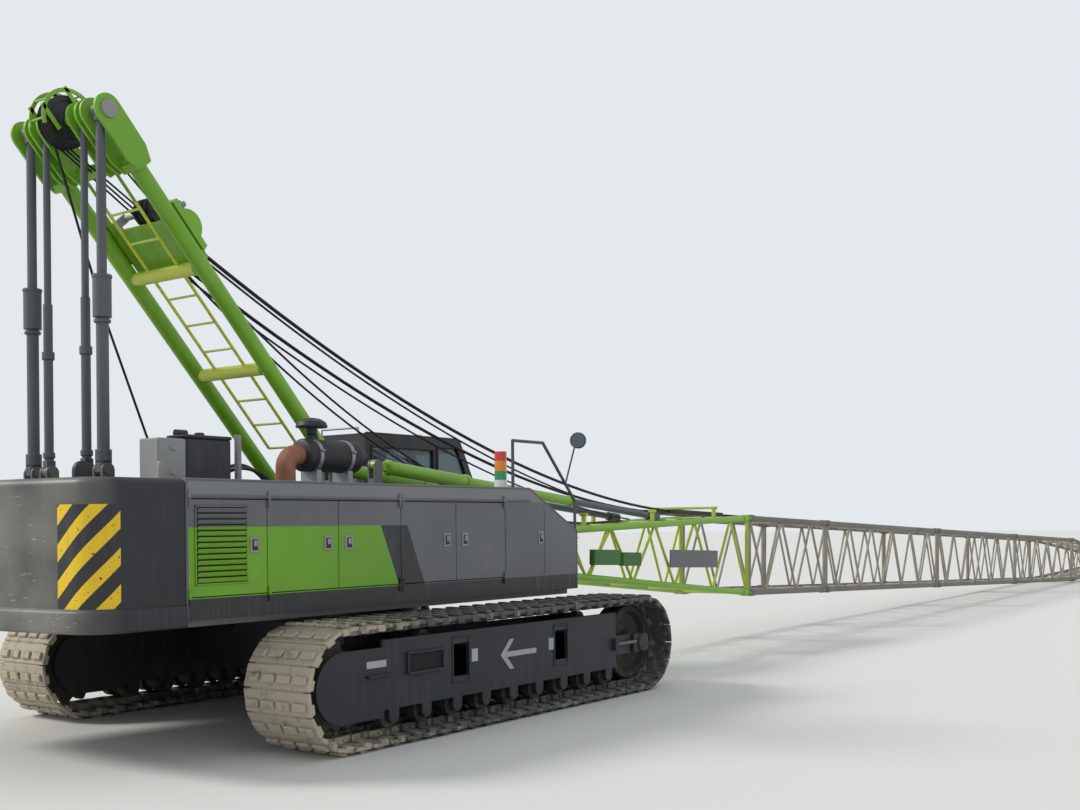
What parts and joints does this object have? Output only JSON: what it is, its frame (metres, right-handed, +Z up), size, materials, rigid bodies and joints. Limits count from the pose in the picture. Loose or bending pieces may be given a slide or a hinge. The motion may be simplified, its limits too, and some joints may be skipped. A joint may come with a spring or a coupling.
{
  "type": "crawler crane",
  "caption": "Lattice-boom crawler crane with tracks, slewing upper works, luffing boom laid out in front, folding A-frame gantry, telescopic stays and opening hood and cab doors.",
  "frame": {"origin": "the slewing axis, at ground level under the tracks", "axes": "+X forward along the tracks and the boom, +Y to the left where the cab is, +Z up"},
  "size_m": [39.9218, 4.374, 5.5049],
  "materials": {
    "green_paint": "glossy lime green machine paint",
    "grey_paint": "satin mid-grey machine paint",
    "dark_paint": "satin dark slate machine paint",
    "light_paint": "light grey machine paint",
    "track_steel": "cast steel track shoes, dusty and worn bright on the bars",
    "sheave_steel": "greased cast sheaves and wheels",
    "rod_chrome": "ground chromed rod",
    "rope_steel": "greased wire rope",
    "glass": "tinted safety glass",
    "seat_fabric": "woven black seat cover",
    "black_plastic": "moulded black plastic",
    "exhaust_steel": "heat-stained exhaust pipe",
    "engine_iron": "painted engine block",
    "lamp_lens": "coloured lamp lenses",
    "galvanised": "galvanised rail tube"
  },
  "bodies": {
    "undercarriage": {"carbody": "dark_paint", "slew_ring": "sheave_steel", "track_frame_left": "grey_paint", "track_frame_right": "grey_paint", "track_left": "track_steel", "track_right": "track_steel", "rollers": "sheave_steel", "track_wheels": "sheave_steel"},
    "upper": {"deck": "grey_paint", "deck_webs": "grey_paint", "deck_brackets": "grey_paint", "counterweight": "dark_paint", "hood_right": "grey_paint", "hood_left": "grey_paint", "engine": "engine_iron", "cab": "dark_paint", "cab_glass": "glass", "cab_seat": "seat_fabric", "winch_drums": "dark_paint", "air_cleaner": "black_plastic", "deck_boxes": "dark_paint", "handrail": "galvanised", "lamp_tower": "lamp_lens"},
    "boom": {"boom_butt": "green_paint", "boom_insert_short": "light_paint", "boom_insert_long_1": "light_paint", "boom_insert_long_2": "light_paint", "boom_insert_long_3": "light_paint", "boom_tip": "light_paint", "boom_sheaves": "sheave_steel", "pendants_laid": "rope_steel", "pendants_hanging": "rope_steel"},
    "gantry": {"a_frame": "green_paint", "head_sheaves": "sheave_steel", "bridle": "green_paint"},
    "stays_lower": {"stay_tubes": "light_paint"},
    "stays_upper": {"stay_rods": "light_paint"},
    "backstops_lower": {"backstop_tubes": "green_paint"},
    "backstops_upper": {"backstop_rods": "light_paint"},
    "hood_door_1": {"hood_door_1": "green_paint"},
    "hood_door_2": {"hood_door_2": "green_paint"},
    "hood_door_3": {"hood_door_3": "green_paint"},
    "hood_door_4": {"hood_door_4": "grey_paint"},
    "hood_door_5": {"hood_door_5": "grey_paint"},
    "left_door_1": {"left_door_1": "green_paint"},
    "left_door_2": {"left_door_2": "grey_paint"},
    "cab_door": {"cab_door": "dark_paint"}
  },
  "joints": [
    {"name": "slew", "type": "hinge", "parent": "undercarriage", "child": "upper", "pos_m": [0, 0, 1.1], "axis": [0, 0, 1], "continuous": true},
    {"name": "boom_luff", "type": "hinge", "parent": "upper", "child": "boom", "pos_m": [1.2, 0, 1.57], "axis": [0, -1, 0], "range_deg": [0, 79.5], "deforming": ["pendants_hanging"]},
    {"name": "gantry_fold", "type": "hinge", "parent": "upper", "child": "gantry", "pos_m": [0, 0, 1.5], "axis": [0, -1, 0], "range_deg": [0, 24]},
    {"name": "stay_tilt", "type": "hinge", "parent": "upper", "child": "stays_lower", "pos_m": [-3.48, 0, 2.35], "axis": [0, -1, 0], "range_deg": [0, 46.05]},
    {"name": "stay_slide", "type": "slide", "parent": "stays_lower", "child": "stays_upper", "axis": [0, 0, -1], "range_m": [0, 1.2166]},
    {"name": "backstop_tilt", "type": "hinge", "parent": "upper", "child": "backstops_lower", "pos_m": [-0.1, 0, 2.505], "axis": [0, -1, 0], "range_deg": [0, 69.11]},
    {"name": "backstop_slide", "type": "slide", "parent": "backstops_lower", "child": "backstops_upper", "axis": [-0.9954, 0, 0.0955], "range_m": [0, 1.861]},
    {"name": "hood_door_1_swing", "type": "hinge", "parent": "upper", "child": "hood_door_1", "pos_m": [-3.498, -1.61, 1.7], "axis": [0, 0, -1], "range_deg": [0, 85]},
    {"name": "hood_door_2_swing", "type": "hinge", "parent": "upper", "child": "hood_door_2", "pos_m": [-2.698, -1.61, 1.7], "axis": [0, 0, -1], "range_deg": [0, 85]},
    {"name": "hood_door_3_swing", "type": "hinge", "parent": "upper", "child": "hood_door_3", "pos_m": [-1.122, -1.61, 1.7], "axis": [0, 0, 1], "range_deg": [0, 85]},
    {"name": "hood_door_4_swing", "type": "hinge", "parent": "upper", "child": "hood_door_4", "pos_m": [-1.088, -1.61, 1.7], "axis": [0, 0, -1], "range_deg": [0, 85]},
    {"name": "hood_door_5_swing", "type": "hinge", "parent": "upper", "child": "hood_door_5", "pos_m": [0.45, -1.61, 1.7], "axis": [0, 0, 1], "range_deg": [0, 85]},
    {"name": "left_door_1_swing", "type": "hinge", "parent": "upper", "child": "left_door_1", "pos_m": [-3.283, 1.61, 1.7], "axis": [0, 0, 1], "range_deg": [0, 85]},
    {"name": "left_door_2_swing", "type": "hinge", "parent": "upper", "child": "left_door_2", "pos_m": [-1.017, 1.61, 1.7], "axis": [0, 0, -1], "range_deg": [0, 85]},
    {"name": "cab_door_swing", "type": "hinge", "parent": "upper", "child": "cab_door", "pos_m": [1.017, 1.6545, 1.9], "axis": [0, 0, 1], "range_deg": [0, 85]}
  ],
  "couplings": [
    {"joint": "stay_tilt", "follows": "gantry_fold", "ratio": 1.9179},
    {"joint": "stay_slide", "follows": "gantry_fold", "m_per_rad": 2.9032},
    {"joint": "backstop_tilt", "follows": "boom_luff", "ratio": 0.86899},
    {"joint": "backstop_slide", "follows": "boom_luff", "m_per_rad": 1.3408}
  ]
}
